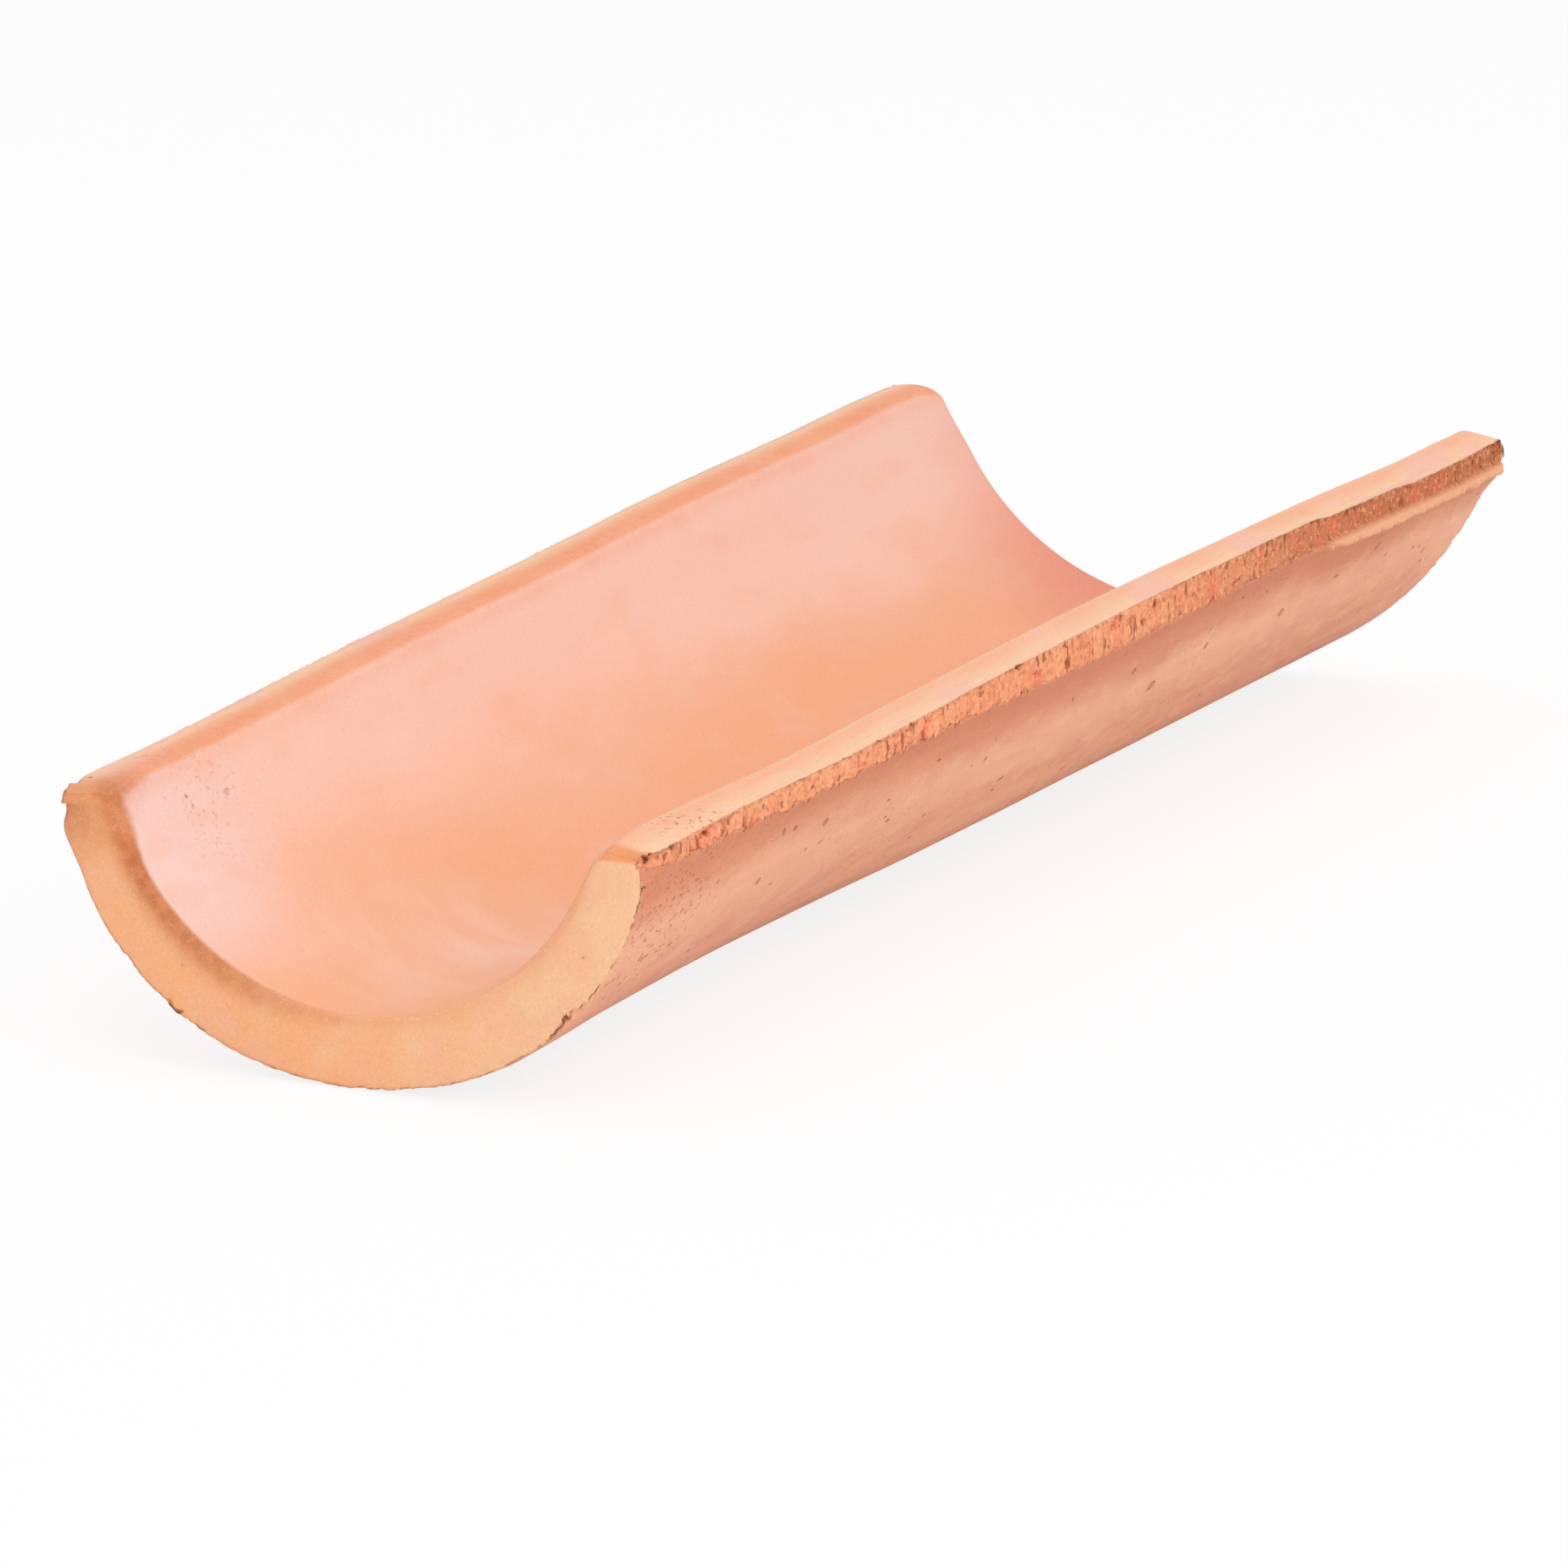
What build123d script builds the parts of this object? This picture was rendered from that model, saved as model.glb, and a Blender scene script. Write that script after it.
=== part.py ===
from build123d import *
from math import atan2, cos, degrees, radians, sin, tan
import os

# Tapered clay roof tile, lying with its hollow side up.
# Millimetres. The origin is on the bottom line that the tile rests on, half way along.
# +Y runs from the narrow end to the wide end, +X across, +Z up.

# The two ends and the length between them. A radius is that of the round back,
# and the share of it is how high the rim's outer edge stands.
length = 400.0
narrow_radius = 62.8
wide_radius = 76.3
rim_height_share = 0.795

# The wall: a round back, with straight flanks tangent to it.
back_half_angle = 64.0
wall_at_back = 14.0
wall_thinning = 1.7

# The rims: trimmed upright on the outside, which leaves a lip at the foot of the cut.
# The trim's height and the lip's reach are those at the narrow end; the taper makes both grow.
trim_height = 3.5
lip_reach = 0.5
lip_angle = 45.0
rim_fall_angle = 7.0

# Roundings: soft where a hand has smoothed the clay. The outer edges stay as the cut left them.
rim_inner_round = 6.0
end_inner_round = 4.0
lip_root_round = 4.0
lip_tip_round = 0.6

# Values that follow from the ones above. The forms overrun both ends and the rims,
# and are then cut to them.
half_length = length / 2
taper_slope = (wide_radius - narrow_radius) / length
taper_angle = degrees(atan2(wide_radius - narrow_radius, length))
narrow_rim_height = rim_height_share * narrow_radius
wide_rim_height = rim_height_share * wide_radius
lip_height = narrow_rim_height - trim_height
form_height = 2 * wide_rim_height
overrun = form_height * taper_slope
back_angle = radians(back_half_angle)
flank_lean = 1 / tan(back_angle)
lip_lean = 1 / tan(radians(lip_angle))
rim_fall = tan(radians(rim_fall_angle))
form_lift = wall_thinning / (1 - cos(back_angle))
start_radius = narrow_radius - overrun * taper_slope


def end_of_back(radius, centre_height):
    """Point of a section where its round back ends and the straight flank begins."""
    return Vector(radius * sin(back_angle), centre_height - radius * cos(back_angle))


def up_the_flank(start, height):
    """Point on a section's straight flank at a height above the resting line."""
    return Vector(start.X + (height - start.Y) * flank_lean, height)


trim_half_width = up_the_flank(end_of_back(start_radius, start_radius), lip_height).X + lip_reach


def tapered_form(radius, centre_height, flank_corners):
    """Solid with a round back and two flanks, which widens evenly from the narrow end on."""
    axis = Vector(0, 1, taper_slope)
    start = Plane(origin=(0, -half_length - overrun, 0), x_dir=(-1, 0, 0), z_dir=axis)
    back_end = end_of_back(radius, centre_height)
    corners = [back_end, *flank_corners]
    with BuildSketch(start) as section:
        with BuildLine():
            bottom = (0, centre_height - radius)
            ThreePointArc((-back_end.X, back_end.Y), bottom, (back_end.X, back_end.Y))
            for side in (-1, 1):
                Polyline([(side * corner.X, corner.Y) for corner in corners])
            Line((-corners[-1].X, form_height), (corners[-1].X, form_height))
        make_face()
    return extrude(section.sketch, amount=length + 3 * overrun, taper=-taper_angle)


def outer_form():
    """The outside of the tile: back, flanks, the lip on each and the upright trim above it."""
    flank = up_the_flank(end_of_back(start_radius, start_radius), lip_height)
    root = up_the_flank(flank, lip_height - lip_reach / (lip_lean - flank_lean))
    tip = Vector(trim_half_width, lip_height)
    return tapered_form(start_radius, start_radius, (root, tip, Vector(tip.X, form_height)))


def hollow_form():
    """The inside of the tile: it sits a little higher than the outside, so the wall thins upward."""
    centre_height = start_radius + form_lift
    radius = centre_height - wall_at_back
    top = up_the_flank(end_of_back(radius, centre_height), form_height)
    return tapered_form(radius, centre_height, (top,))


def gable_section(y, rim_height, rim_half_width):
    """Outline across the tile at one end, with a roof that falls outward through both rims."""
    ridge = rim_height + rim_half_width * rim_fall
    half_width = 2 * wide_radius
    eaves = ridge - half_width * rim_fall
    with BuildSketch(Plane.XZ.offset(-y)) as outline:
        with BuildLine():
            Polyline(
                (-half_width, -form_height),
                (half_width, -form_height),
                (half_width, eaves),
                (0, ridge),
                (-half_width, eaves),
                close=True,
            )
        make_face()
    return outline.sketch


def cut_to_size(wall):
    """Cut both ends square and both rims to their height."""
    wide_half_width = trim_half_width + wide_radius - narrow_radius
    ends = (
        gable_section(-half_length, narrow_rim_height, trim_half_width),
        gable_section(half_length, wide_rim_height, wide_half_width),
    )
    return (wall & loft(ends, ruled=True)).solid()


def long_edges(tile):
    """Edges that run the length of the tile, in mirrored pairs from the innermost out."""
    edges = tile.edges().filter_by(lambda edge: edge.length > half_length)
    return edges.sort_by(lambda edge: abs(edge.center().X))


def soften_rims(tile):
    """Round the inner edge of both rims, the highest of all."""
    return fillet(long_edges(tile).sort_by(Axis.Z)[-2:], rim_inner_round)


def soften_lips(tile):
    """Round the hollow under each lip and take the sharpness off its tip."""
    tile = fillet(long_edges(tile)[-6:-4], lip_root_round)
    return fillet(long_edges(tile)[-4:].sort_by(Axis.Z)[:2], lip_tip_round)


def soften_ends(tile):
    """Round the inner edge of both ends, across the hollow and over the rims."""
    upward = tile.faces().filter_by(lambda face: face.normal_at().Z > cos(back_angle) / 2)
    ends = tile.faces().filter_by(Axis.Y)
    inner_edges = [edge for edge in ends.edges() if edge in upward.edges()]
    return fillet(inner_edges, end_inner_round)


tile = cut_to_size(outer_form() - hollow_form())
clay_tile = soften_ends(soften_lips(soften_rims(tile)))

os.makedirs("parts", exist_ok=True)
export_step(clay_tile, "parts/clay_tile.step")
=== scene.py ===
"""A tapered clay roof tile, lying hollow side up on a pale studio floor.

The tile is modelled as a maker forms one: a flat slab of clay is rolled out, draped into a
trough that widens along its length, trimmed along both rims, wiped smooth inside and fired.
Metres throughout; +Y runs from the narrow end to the wide end, +Z is up.
"""

import logging
import math
from dataclasses import dataclass, field
from enum import Enum
from typing import Optional, Sequence, Union

import bmesh
import bpy
from mathutils import Matrix, Vector, noise


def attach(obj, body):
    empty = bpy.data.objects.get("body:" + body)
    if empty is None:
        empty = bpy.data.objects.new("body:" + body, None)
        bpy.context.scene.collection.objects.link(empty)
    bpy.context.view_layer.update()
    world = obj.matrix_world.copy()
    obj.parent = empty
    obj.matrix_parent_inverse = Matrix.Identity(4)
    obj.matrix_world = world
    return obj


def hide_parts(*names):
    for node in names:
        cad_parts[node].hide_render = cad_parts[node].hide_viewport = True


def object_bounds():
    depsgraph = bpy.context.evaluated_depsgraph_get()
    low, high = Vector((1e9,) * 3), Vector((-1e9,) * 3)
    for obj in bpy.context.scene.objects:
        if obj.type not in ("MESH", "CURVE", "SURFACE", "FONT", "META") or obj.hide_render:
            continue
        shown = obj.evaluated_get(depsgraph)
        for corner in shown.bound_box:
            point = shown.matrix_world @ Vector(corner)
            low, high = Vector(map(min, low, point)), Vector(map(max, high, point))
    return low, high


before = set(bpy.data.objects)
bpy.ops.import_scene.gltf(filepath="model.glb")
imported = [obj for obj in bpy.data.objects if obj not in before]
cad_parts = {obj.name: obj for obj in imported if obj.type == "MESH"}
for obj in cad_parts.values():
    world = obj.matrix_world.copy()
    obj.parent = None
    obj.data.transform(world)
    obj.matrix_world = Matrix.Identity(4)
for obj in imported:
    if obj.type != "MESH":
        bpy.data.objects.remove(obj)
cad_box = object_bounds()

LOG = logging.getLogger("roof_tile")
MM = 0.001
EDGE = 1e-5

Colour = tuple[float, float, float]


def srgb(red: int, green: int, blue: int) -> Colour:
    """A colour as seen on screen, 0 to 255, turned into the linear values that shaders use.

    Args:
        red: Red share of 255.
        green: Green share of 255.
        blue: Blue share of 255.

    Returns:
        The three linear values.
    """
    shares = (red / 255, green / 255, blue / 255)
    linear = [s / 12.92 if s <= 0.04045 else ((s + 0.055) / 1.055) ** 2.4 for s in shares]
    return (linear[0], linear[1], linear[2])


def ease(low: float, high: float, value: float) -> float:
    """Smooth step from 0 at low to 1 at high."""
    share = min(1.0, max(0.0, (value - low) / (high - low)))
    return share * share * (3 - 2 * share)


def between(first: float, second: float, share: float) -> float:
    """Value at a share of the way from first to second."""
    return first + (second - first) * share


class Side(Enum):
    """The two rims of the tile, seen from the narrow end."""

    LEFT = -1
    RIGHT = 1


class Zone(Enum):
    """Surfaces of the slab that get a finish of their own, each a named vertex attribute."""

    INSIDE = "inside"
    TRIM = "trim"
    RIM = "rim"
    END = "end_face"
    OUTER_RIM = "outer_rim"
    WORN_AND_HIGHLIGHT = "worn_and_highlight_edge"
    # the rounded inner edges: rubbed bare clay, and on the right rim a painted highlight
    FACET = "facet"
    ARRIS = "arris"
    LIP = "lip"
    PIT = "pit"


@dataclass(frozen=True)
class Swell:
    """A soft rise in a line along the tile.

    Attributes:
        place: Distance of its middle from the narrow end.
        reach: How far it spreads each way.
        height: How far it rises, or falls if negative.
    """

    place: float
    reach: float
    height: float

    def at(self, distance: float) -> float:
        """Rise at a distance from the narrow end."""
        return self.height * math.exp(-(((distance - self.place) / self.reach) ** 2))


@dataclass(frozen=True)
class Ledge:
    """A step in a line along the tile.

    Attributes:
        place: Distance of its middle from the narrow end.
        reach: Half the length over which it rises.
        height: How far it rises, or falls if negative.
    """

    place: float
    reach: float
    height: float

    def at(self, distance: float) -> float:
        """Rise at a distance from the narrow end."""
        return self.height * ease(self.place - self.reach, self.place + self.reach, distance)


Rise = Union[Swell, Ledge]


@dataclass(frozen=True)
class Scar:
    """A small dark dent, crevice or burr.

    Attributes:
        place: Its middle on the tile, or where it starts if it is long.
        reach: How far it spreads from there.
        depth: How deep it is, or how high it stands if negative.
        dark: How dark it is, from 0 to 1.
        run: From its start to its end, if it is long.
    """

    place: tuple[float, float, float]
    reach: float
    depth: float
    dark: float
    run: tuple[float, float, float] = (0.0, 0.0, 0.0)

    def at(self, place: Vector) -> float:
        """Share of the scar that is felt at a point, from 0 to 1."""
        if abs(place.y - self.place[1]) > self.reach + abs(self.run[1]):
            return 0.0
        run, away = Vector(self.run), place - Vector(self.place)
        share = min(1.0, max(0.0, away.dot(run) / max(run.length_squared, EDGE**2)))
        ragged = self.reach * (1 + 0.6 * noise.noise(place * 420))
        return 1 - ease(0.25, 1.0, (away - run * share).length / ragged)


def scar(
    place: Sequence[float],
    reach: float,
    depth: float,
    dark: float,
    run: Sequence[float] = (0.0, 0.0, 0.0),
) -> Scar:
    """A Scar whose lengths are given in millimetres."""
    start, way = tuple(step * MM for step in place), tuple(step * MM for step in run)
    return Scar(start, reach * MM, depth * MM, dark, way)


@dataclass(frozen=True)
class TileForm:
    """The tile's section and how it grows along its length.

    A point of the slab is named by three shares: across (-1 at the left rim to 1 at the right),
    along (-1 at the narrow end to 1 at the wide end) and deep (0 outside to 1 inside).
    """

    length: float = 400 * MM
    narrow_radius: float = 62.8 * MM
    wide_radius: float = 76.3 * MM
    rim_height_share: float = 0.795
    back_half_angle: float = math.radians(64)
    wall_at_back: float = 14 * MM
    hollow_lift: float = 3.03 * MM
    narrow_trim_half_width: float = 62.45 * MM
    narrow_lip_height: float = 46.55 * MM
    lip_climb: float = 0.586
    lip_slope: float = 1.0
    rim_fall: float = math.tan(math.radians(7))
    body_share: float = 0.76
    lip_share: float = 0.86
    lip_sweep: float = 4.0 * MM
    rim_band: float = 11 * MM

    def radius(self, along: float) -> float:
        """Radius of the round back at a share of the length."""
        return self.narrow_radius + (self.wide_radius - self.narrow_radius) * (along + 1) / 2

    def growth(self, along: float) -> float:
        """How much the radius has grown since the narrow end."""
        return self.radius(along) - self.narrow_radius

    def rim_height(self, along: float) -> float:
        """Height of the rim's outer edge."""
        return self.rim_height_share * self.radius(along)

    def trim_half_width(self, along: float) -> float:
        """Distance of the upright trimmed face from the middle."""
        return self.narrow_trim_half_width + self.growth(along)

    def lip_height(self, along: float) -> float:
        """Height of the lip at the foot of the trimmed face."""
        return self.narrow_lip_height + self.lip_climb * self.growth(along)

    def flank_point(self, radius: float, lift: float, height: float) -> Vector:
        """Point on the straight flank that runs on from a round back.

        Args:
            radius: Radius of the round back.
            lift: Height of the back's lowest point.
            height: Height wanted.

        Returns:
            Distance from the middle and height.
        """
        angle = self.back_half_angle
        start_width = radius * math.sin(angle)
        start_height = lift + radius * (1 - math.cos(angle))
        return Vector((start_width + (height - start_height) / math.tan(angle), height))

    def back_point(self, radius: float, lift: float, walk: float) -> Vector:
        """Point reached by walking from the lowest point over the back and up the flank.

        Args:
            radius: Radius of the round back.
            lift: Height of the lowest point.
            walk: Distance walked along the surface.

        Returns:
            Distance from the middle and height.
        """
        angle = walk / radius
        if angle < self.back_half_angle:
            return Vector((radius * math.sin(angle), lift + radius * (1 - math.cos(angle))))
        foot = lift + radius * (1 - math.cos(self.back_half_angle))
        rest = walk - radius * self.back_half_angle
        return self.flank_point(radius, lift, foot + rest * math.sin(self.back_half_angle))

    def walk_to(self, radius: float, lift: float, height: float) -> float:
        """Distance walked from the lowest point to a height on the flank."""
        foot = lift + radius * (1 - math.cos(self.back_half_angle))
        return radius * self.back_half_angle + (height - foot) / math.sin(self.back_half_angle)

    def outer(self, across: float, along: float) -> Vector:
        """Point of the outer outline on the right-hand half.

        Args:
            across: Share from the middle (0) to the rim's outer edge (1).
            along: Share of the length.

        Returns:
            Distance from the middle and height.
        """
        radius = self.radius(along)
        trim = self.trim_half_width(along)
        tip = Vector((trim, self.lip_height(along)))
        flank = self.flank_point(radius, 0, tip.y)
        drop = (tip.x - flank.x) / (self.lip_slope - 1 / math.tan(self.back_half_angle))
        root = self.flank_point(radius, 0, tip.y - drop)
        sweep_walk = self.walk_to(radius, 0, root.y - self.lip_sweep)
        if across <= self.body_share:
            return self.back_point(radius, 0, sweep_walk * across / self.body_share)
        if across <= self.lip_share:
            start = self.back_point(radius, 0, sweep_walk)
            share = (across - self.body_share) / (self.lip_share - self.body_share)
            return start.lerp(root, share).lerp(root.lerp(tip, share), share)
        share = (across - self.lip_share) / (1 - self.lip_share)
        return tip.lerp(Vector((trim, self.rim_height(along))), share)

    def inner_rim(self, along: float) -> Vector:
        """Corner where the hollow's flank meets the rim, before it is rounded."""
        radius, lift = self.hollow(along)
        start = self.flank_point(radius, lift, 0)
        lean = 1 / math.tan(self.back_half_angle)
        ridge = self.rim_height(along) + self.trim_half_width(along) * self.rim_fall
        height = (ridge - start.x * self.rim_fall) / (1 + lean * self.rim_fall)
        return self.flank_point(radius, lift, height)

    def hollow(self, along: float) -> tuple[float, float]:
        """Radius of the hollow and the height of its lowest point."""
        radius = self.radius(along) + self.hollow_lift - self.wall_at_back
        return radius, self.wall_at_back

    def inner_walk(self, along: float) -> float:
        """Distance over the hollow from its lowest point to the rim's corner."""
        radius, lift = self.hollow(along)
        return self.walk_to(radius, lift, self.inner_rim(along).y)

    def inner(self, across: float, along: float) -> Vector:
        """Point of the inner outline on the right-hand half, as outer gives for the outside."""
        radius, lift = self.hollow(along)
        whole = self.inner_walk(along)
        near_rim = whole - self.rim_band
        if across <= self.body_share:
            walk = near_rim * across / self.body_share
        else:
            walk = near_rim + self.rim_band * (across - self.body_share) / (1 - self.body_share)
        return self.back_point(radius, lift, walk)

    def flank_down(self) -> Vector:
        """Unit step down the straight flank of the right-hand half."""
        return Vector((-math.cos(self.back_half_angle), -math.sin(self.back_half_angle)))


@dataclass(frozen=True)
class Softening:
    """How far the rounding of the edges reaches on one half of the tile.

    Attributes:
        rim_down: Down the hollow's flank from the rim.
        rim_across: Across the rim.
        end_across: Into the wall at the narrow end.
        corner_down: Down from the rim at its ends.
        near_corner: Along the rim at its narrow end.
        far_corner: Along the rim at its wide end.
        near_knock: Knocked off the outer corner at the narrow end.
        far_knock: Knocked off the outer corner at the wide end.
        near_pull: How far the trimmed face is pulled in at the narrow end.
        near_pull_from: Where that pull begins.
        near_fold: Shape of the rim's narrow end: 2 is round, 1 a flat facet.
        near_fade: How far below the rim the knocked outer corner at the narrow end runs out.
        near_fill: How far the hollow under the lip is filled out at the narrow end.
    """

    rim_down: float
    rim_across: float
    end_across: float
    corner_down: float
    near_corner: float
    far_corner: float
    near_knock: float
    far_knock: float
    near_pull: float
    near_pull_from: float
    near_fold: float
    near_fade: float
    near_fill: float


@dataclass(frozen=True)
class HandShaping:
    """Where the maker's hand left the tile uneven, and how round its softened edges are."""

    left_softening: Softening = Softening(
        rim_down=2.6 * MM,
        rim_across=8.0 * MM,
        end_across=7.0 * MM,
        corner_down=5.0 * MM,
        near_corner=5.0 * MM,
        far_corner=6.0 * MM,
        near_knock=4.2 * MM,
        far_knock=2.5 * MM,
        near_pull=1.6 * MM,
        near_pull_from=15 * MM,
        near_fold=2.0,
        near_fade=26 * MM,
        near_fill=1.3 * MM,
    )
    right_softening: Softening = Softening(
        rim_down=2.4 * MM,
        rim_across=3.2 * MM,
        end_across=5.2 * MM,
        corner_down=4.4 * MM,
        near_corner=3.0 * MM,
        far_corner=4.0 * MM,
        near_knock=2.2 * MM,
        far_knock=3.2 * MM,
        near_pull=3.3 * MM,
        near_pull_from=8 * MM,
        near_fold=1.2,
        near_fade=12 * MM,
        near_fill=0.0,
    )
    near_round: float = 1.7 * MM
    low_round: float = 2.8 * MM
    far_round: float = 3.2 * MM
    left_swells: tuple[Swell, ...] = (
        Swell(270 * MM, 75 * MM, 2.0 * MM),
        Swell(130 * MM, 85 * MM, 1.5 * MM),
        Swell(370 * MM, 30 * MM, 0.8 * MM),
        Swell(6 * MM, 30 * MM, 0.75 * MM),
    )
    right_swells: tuple[Swell, ...] = (
        Swell(200 * MM, 90 * MM, 1.45 * MM),
        Swell(15 * MM, 30 * MM, 0.65 * MM),
        Swell(74 * MM, 22 * MM, -0.3 * MM),
        Swell(372 * MM, 42 * MM, -1.2 * MM),
    )
    left_lip: tuple[Rise, ...] = (Swell(250 * MM, 90 * MM, -1.2 * MM),)
    right_lip: tuple[Rise, ...] = (
        Swell(0, 12 * MM, 0.8 * MM),
        Swell(200 * MM, 75 * MM, -1.5 * MM),
    )
    left_hang: Ledge = Ledge(335 * MM, 20 * MM, -1.6 * MM)
    right_hang: Ledge = Ledge(304 * MM, 14 * MM, -2.4 * MM)
    left_arris: tuple[Rise, ...] = ()
    right_arris: tuple[Rise, ...] = (
        Ledge(22 * MM, 20 * MM, 0.85 * MM),
        Ledge(298 * MM, 5 * MM, -1.1 * MM),
        Ledge(343 * MM, 7 * MM, -0.5 * MM),
    )
    left_belly: tuple[Swell, ...] = (Swell(0, 50 * MM, 1.4 * MM),)
    right_belly: tuple[Swell, ...] = (
        Swell(0, 25 * MM, 1.1 * MM),
        Swell(95 * MM, 60 * MM, -1.1 * MM),
    )
    belly_drop: float = 0.6
    swell_depth: float = 26 * MM

    def softening(self, side: Side) -> Softening:
        """Rounding of one half."""
        return self.left_softening if side is Side.LEFT else self.right_softening

    def swell(self, side: Side, distance: float) -> float:
        """Rise of a rim at a distance from the narrow end."""
        swells = self.left_swells if side is Side.LEFT else self.right_swells
        return sum(swell.at(distance) for swell in swells)

    def hang(self, side: Side, distance: float) -> float:
        """How far a tongue of smooth clay hangs below the torn face."""
        tongue = self.left_hang if side is Side.LEFT else self.right_hang
        return -tongue.at(distance)

    def lip_rise(self, side: Side, distance: float) -> float:
        """Rise of a lip at a distance from the narrow end, negative where it hangs lower."""
        rises = self.left_lip if side is Side.LEFT else self.right_lip
        return sum(rise.at(distance) for rise in rises) - self.hang(side, distance)

    def arris_rise(self, side: Side, distance: float) -> float:
        """Rise of a rim's outer arris beyond that of the rim."""
        rises = self.left_arris if side is Side.LEFT else self.right_arris
        return sum(rise.at(distance) for rise in rises)

    def belly(self, side: Side, distance: float) -> float:
        """How far the outside stands out below the lip, negative where it is flatter."""
        swells = self.left_belly if side is Side.LEFT else self.right_belly
        return sum(swell.at(distance) for swell in swells)

    def reaches(self, side: Side, far: bool, below_rim: float, from_end: float) -> list[float]:
        """How far the inner rounding reaches down from the rim, into the wall and along the tile.

        Args:
            side: Which half of the tile.
            far: True at the wide end.
            below_rim: Distance down from the rim.
            from_end: Distance from the end.

        Returns:
            The three reaches.
        """
        soft = self.softening(side)
        near_rim = 1 - ease(5 * MM, 18 * MM, below_rim)
        near_end = 1 - ease(5 * MM, 18 * MM, from_end)
        low = ease(40 * MM, 80 * MM, below_rim)
        corner = soft.far_corner if far else soft.near_corner
        end_along = self.far_round if far else self.near_round
        end_across = self.far_round if far else between(soft.end_across, self.low_round, low)
        return [
            between(soft.rim_down, soft.corner_down, near_end),
            between(end_across, soft.rim_across, near_rim),
            between(end_along, corner, near_rim),
        ]

    def fold(self, side: Side, far: bool, below_rim: float, from_end: float) -> float:
        """Shape of the inner rounding, as Softening.near_fold gives it."""
        near_rim = 1 - ease(3 * MM, 8 * MM, below_rim)
        near_end = 1 - ease(3 * MM, 8 * MM, from_end)
        return 2.0 if far else between(2.0, self.softening(side).near_fold, near_rim * near_end)

    @staticmethod
    def corner(below_rim: float, from_end: float) -> float:
        """How near a point is to one of the four corners, from 0 to 1."""
        near_rim = 1 - ease(4 * MM, 12 * MM, below_rim)
        near_end = 1 - ease(4 * MM, 12 * MM, from_end)
        return near_rim * near_end

    def knock(self, side: Side, far: bool, below_rim: float, from_end: float) -> float:
        """How far the outer corners are knocked off at a point."""
        soft = self.softening(side)
        if far:
            return EDGE + soft.far_knock * self.corner(below_rim, from_end)
        near_rim = 1 - ease(4 * MM, soft.near_fade, below_rim)
        return EDGE + soft.near_knock * near_rim * (1 - ease(4 * MM, 12 * MM, from_end))


@dataclass(frozen=True)
class Relief:
    """Depths of the marks in the clay, and the scars that stand out."""

    hand_wave: float = 0.22 * MM
    body_ridge: float = 0.10 * MM
    under_lip: float = 0.60 * MM
    trim_recess: float = 1.3 * MM
    trim_drag: float = 0.22 * MM
    trim_crumb: float = 0.30 * MM
    trim_lump: float = 0.40 * MM
    trim_pit: float = 1.1 * MM
    lip_rag: float = 1.0 * MM
    arris_chip: float = 0.7 * MM
    arris_step: float = 0.35 * MM
    arris_ease: float = 0.18 * MM
    end_chip: float = 0.3 * MM
    end_edge: float = 2.2 * MM
    end_grain: float = 0.07 * MM
    end_wave: float = 0.12 * MM
    scars: tuple[Scar, ...] = (
        scar((41.6, -200, 14.6), 1.3, 1.0, 1.0, (6.6, 0, 6.2)),
        scar((44.6, -200, 17.2), 1.8, 1.3, 1.0, (1.6, 0, 1.6)),
        scar((49.6, -200, 22.4), 0.9, 0.6, 0.9, (1.6, 0, 2.2)),
        scar((51.2, -197.4, 24.6), 1.0, 0.4, 0.7),
        scar((53.4, -199.0, 28.6), 1.1, 0.5, 0.8, (0.6, 0, 1.2)),
        scar((58.8, -200, 39.0), 1.0, 0.5, 0.7, (0.6, 0, 1.6)),
        scar((60.2, -199.4, 43.6), 1.2, 0.6, 0.8),
        scar((-41.0, -200, 13.6), 0.9, 0.5, 0.9, (4.6, 0, -3.0)),
        scar((-38.6, -200, 11.6), 1.2, -0.4, 1.0, (1.6, 0, -1.0)),
        scar((-33.6, -200, 8.4), 0.9, 0.35, 0.8, (2.0, 0, -0.9)),
        scar((-49.4, -200, 21.6), 0.9, 0.35, 0.8, (3.0, 0, -3.4)),
        scar((59.6, -170.6, 51.6), 1.5, 0.9, 1.0),
        scar((60.2, -198.4, 49.2), 1.4, 0.9, 1.0),
        scar((-60.2, -190.4, 50.8), 1.4, 0.6, 1.0, (1.2, -1.4, 0)),
        scar((-61.2, -193.6, 50.4), 1.1, 0.4, 0.9),
        scar((-36.0, -200, 19.5), 0.8, 0.3, 0.7),
        scar((48.0, -200, 30.0), 0.9, 0.4, 0.7),
    )


@dataclass
class SlabPoint:
    """One vertex of the slab: its shares, what it has become, and how much it is of each zone."""

    across: float
    along: float
    deep: float
    place: Vector = field(default_factory=Vector)
    slip: float = 0.0
    worn_and_highlight: float = 0.0
    on_rim: bool = False
    on_end: bool = False
    trim: float = 0.0
    arris: float = 0.0
    lip: float = 0.0
    pit: float = 0.0
    facet: float = 0.0
    corner: float = 0.0

    @property
    def side(self) -> Side:
        """The half of the tile that the point is on."""
        return Side.LEFT if self.across < 0 else Side.RIGHT

    def share_of(self, zone: Zone) -> float:
        """How much the point belongs to a zone, from 0 to 1."""
        shares = {
            Zone.INSIDE: self.slip,
            Zone.RIM: float(self.on_rim),
            Zone.END: float(self.on_end),
            Zone.TRIM: self.trim,
            Zone.OUTER_RIM: float(self.on_rim) * (1 - self.deep),
            Zone.WORN_AND_HIGHLIGHT: self.worn_and_highlight,
            Zone.FACET: self.facet,
            Zone.ARRIS: self.arris,
            Zone.LIP: self.lip,
            Zone.PIT: self.pit,
        }
        return shares[zone]


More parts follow.
